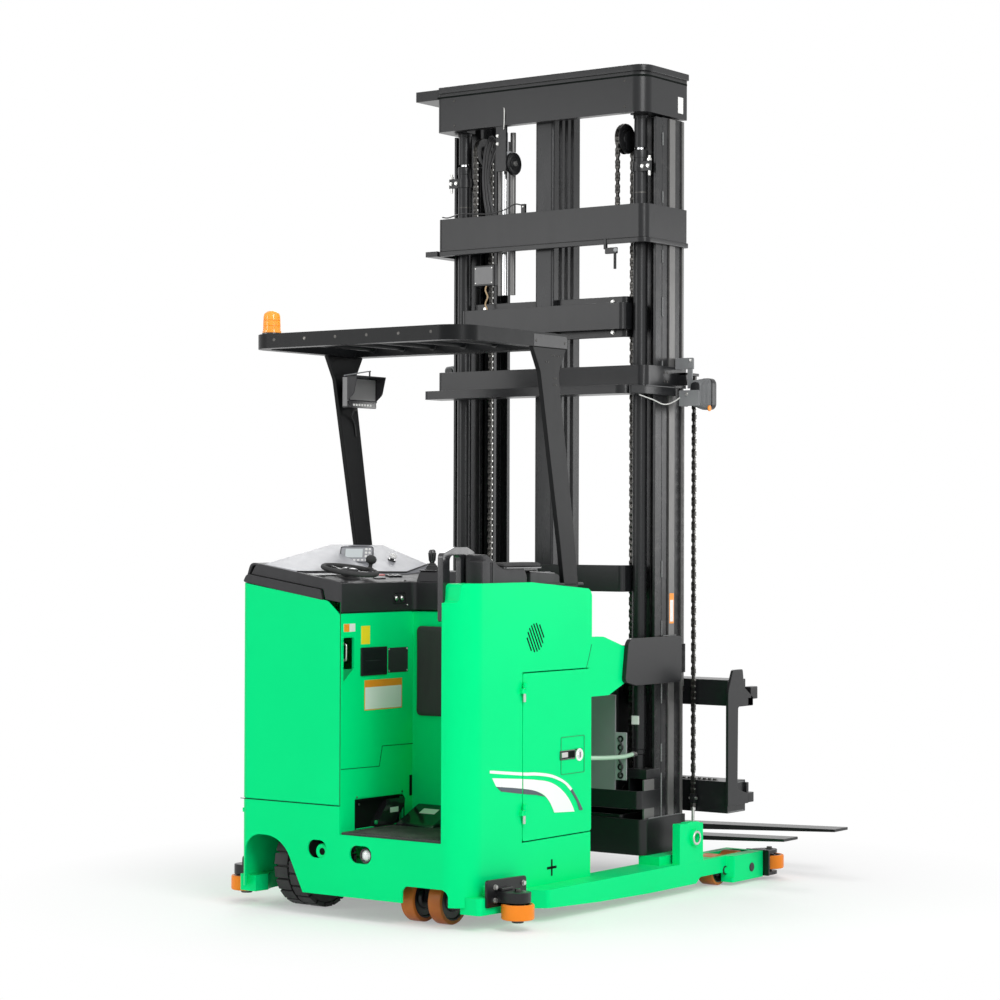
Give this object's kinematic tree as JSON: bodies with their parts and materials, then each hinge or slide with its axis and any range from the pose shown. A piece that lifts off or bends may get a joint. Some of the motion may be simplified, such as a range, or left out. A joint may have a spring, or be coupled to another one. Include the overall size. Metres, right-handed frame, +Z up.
{
  "type": "turret truck",
  "caption": "Electric very-narrow-aisle turret truck with a rear operator's compartment, straddle legs, three-stage mast and swivelling, traversing forks.",
  "frame": {"origin": "middle of the footprint at the floor", "axes": "+X forward to the mast and forks, +Y to the truck's left, +Z up"},
  "size_m": [2.381, 1.6045, 3.414],
  "materials": {
    "green": "satin",
    "black_steel": "satin",
    "black_plastic": "satin",
    "soft_black": "matte",
    "grey_plastic": "satin",
    "orange": "satin",
    "tyre_black": "matte",
    "polished_rod": "polished",
    "amber": "gloss"
  },
  "bodies": {
    "chassis": {"armrest": "soft_black", "battery_block": "black_plastic", "beacon": "amber", "chassis_frame": "green", "compartment_liner": "green", "console_panel": "grey_plastic", "floor_mat": "soft_black", "foot_pedal": "black_plastic", "grab_handle": "black_plastic", "guard_posts": "black_steel", "joystick": "black_plastic", "knee_pad": "soft_black", "left_side_panel": "green", "lift_cylinders": "black_steel", "mast_tie": "black_steel", "monitor": "black_plastic", "outer_mast": "black_steel", "outer_mast_bands": "black_steel", "overhead_guard": "black_steel", "rear_left_cover": "green", "roller_brackets": "black_steel", "side_console": "black_plastic", "side_tower": "green", "spot_lamps": "black_plastic", "steering_column": "black_plastic", "straddle_leg_left": "black_steel", "straddle_leg_right": "black_steel", "top_hood": "black_plastic"},
    "battery_door": {"battery_door": "green"},
    "steering_wheel": {"steering_wheel": "black_plastic"},
    "drive_unit": {"drive_unit": "black_steel"},
    "drive_wheel": {"drive_wheel": "tyre_black"},
    "caster_fork": {"caster_fork": "black_steel"},
    "caster_wheels": {"caster_wheels": "orange"},
    "load_wheel_rear_right": {"load_wheel_rear_right": "orange"},
    "load_wheel_front_right": {"load_wheel_front_right": "orange"},
    "load_wheel_rear_left": {"load_wheel_rear_left": "orange"},
    "load_wheel_front_left": {"load_wheel_front_left": "orange"},
    "guide_roller_rear_right": {"guide_roller_rear_right": "orange"},
    "guide_roller_front_right": {"guide_roller_front_right": "orange"},
    "guide_roller_rear_left": {"guide_roller_rear_left": "orange"},
    "guide_roller_front_left": {"guide_roller_front_left": "orange"},
    "middle_mast": {"middle_mast": "black_steel", "middle_mast_head": "black_steel", "lift_rods": "polished_rod"},
    "inner_mast": {"inner_mast": "black_steel", "inner_mast_column": "black_steel"},
    "lift_carriage": {"lift_carriage": "black_steel", "rail_end_plates": "black_steel"},
    "traverse_slider": {"traverse_slider": "black_steel"},
    "turret": {"turret_head": "black_steel", "fork_carriage": "black_steel", "fork_rear": "black_steel", "fork_front": "black_steel"}
  },
  "joints": [
    {"name": "battery_door_hinge", "type": "hinge", "parent": "chassis", "child": "battery_door", "pos_m": [-0.8245, -0.49825, 0.6], "axis": [0, 0, -1], "range_deg": [0, 120]},
    {"name": "steering_wheel_turn", "type": "hinge", "parent": "chassis", "child": "steering_wheel", "pos_m": [-1.0105, 0.21775, 1.30555], "axis": [0, -0.1664, 0.9861], "continuous": true},
    {"name": "drive_steer", "type": "hinge", "parent": "chassis", "child": "drive_unit", "pos_m": [-0.9585, 0.42475, 0.377], "axis": [0, 0, 1], "range_deg": [-90, 90]},
    {"name": "drive_wheel_spin", "type": "hinge", "parent": "drive_unit", "child": "drive_wheel", "pos_m": [-0.9585, 0.42475, 0.17], "axis": [0, 1, 0], "continuous": true},
    {"name": "caster_swivel", "type": "hinge", "parent": "chassis", "child": "caster_fork", "pos_m": [-0.9905, -0.23225, 0.26], "axis": [0, 0, 1], "continuous": true},
    {"name": "caster_wheels_spin", "type": "hinge", "parent": "caster_fork", "child": "caster_wheels", "pos_m": [-1.0405, -0.23225, 0.09], "axis": [0, 1, 0], "continuous": true},
    {"name": "load_wheel_rear_right_spin", "type": "hinge", "parent": "chassis", "child": "load_wheel_rear_right", "pos_m": [0.5095, -0.52225, 0.065], "axis": [0, 1, 0], "continuous": true},
    {"name": "load_wheel_front_right_spin", "type": "hinge", "parent": "chassis", "child": "load_wheel_front_right", "pos_m": [0.6695, -0.52225, 0.065], "axis": [0, 1, 0], "continuous": true},
    {"name": "guide_roller_rear_right_spin", "type": "hinge", "parent": "chassis", "child": "guide_roller_rear_right", "pos_m": [-1.0145, -0.60425, 0.072], "axis": [0, 0, 1], "continuous": true},
    {"name": "guide_roller_front_right_spin", "type": "hinge", "parent": "chassis", "child": "guide_roller_front_right", "pos_m": [0.8495, -0.60425, 0.072], "axis": [0, 0, 1], "continuous": true},
    {"name": "load_wheel_rear_left_spin", "type": "hinge", "parent": "chassis", "child": "load_wheel_rear_left", "pos_m": [0.5095, 0.65775, 0.065], "axis": [0, 1, 0], "continuous": true},
    {"name": "load_wheel_front_left_spin", "type": "hinge", "parent": "chassis", "child": "load_wheel_front_left", "pos_m": [0.6695, 0.65775, 0.065], "axis": [0, 1, 0], "continuous": true},
    {"name": "guide_roller_rear_left_spin", "type": "hinge", "parent": "chassis", "child": "guide_roller_rear_left", "pos_m": [-1.0145, 0.73975, 0.072], "axis": [0, 0, 1], "continuous": true},
    {"name": "guide_roller_front_left_spin", "type": "hinge", "parent": "chassis", "child": "guide_roller_front_left", "pos_m": [0.8495, 0.73975, 0.072], "axis": [0, 0, 1], "continuous": true},
    {"name": "mast_lift", "type": "slide", "parent": "chassis", "child": "middle_mast", "axis": [0, 0, 1], "range_m": [0, 1.95]},
    {"name": "inner_mast_lift", "type": "slide", "parent": "middle_mast", "child": "inner_mast", "axis": [0, 0, 1], "range_m": [0, 1.95]},
    {"name": "carriage_lift", "type": "slide", "parent": "inner_mast", "child": "lift_carriage", "axis": [0, 0, 1], "range_m": [0, 2.15]},
    {"name": "traverse", "type": "slide", "parent": "lift_carriage", "child": "traverse_slider", "axis": [0, 1, 0], "range_m": [-0.72, 0.18]},
    {"name": "turret_turn", "type": "hinge", "parent": "traverse_slider", "child": "turret", "pos_m": [0.9095, 0.33775, 0.6], "axis": [0, 0, 1], "range_deg": [0, 180]}
  ],
  "couplings": [
    {"joint": "inner_mast_lift", "follows": "mast_lift", "ratio": 1}
  ]
}
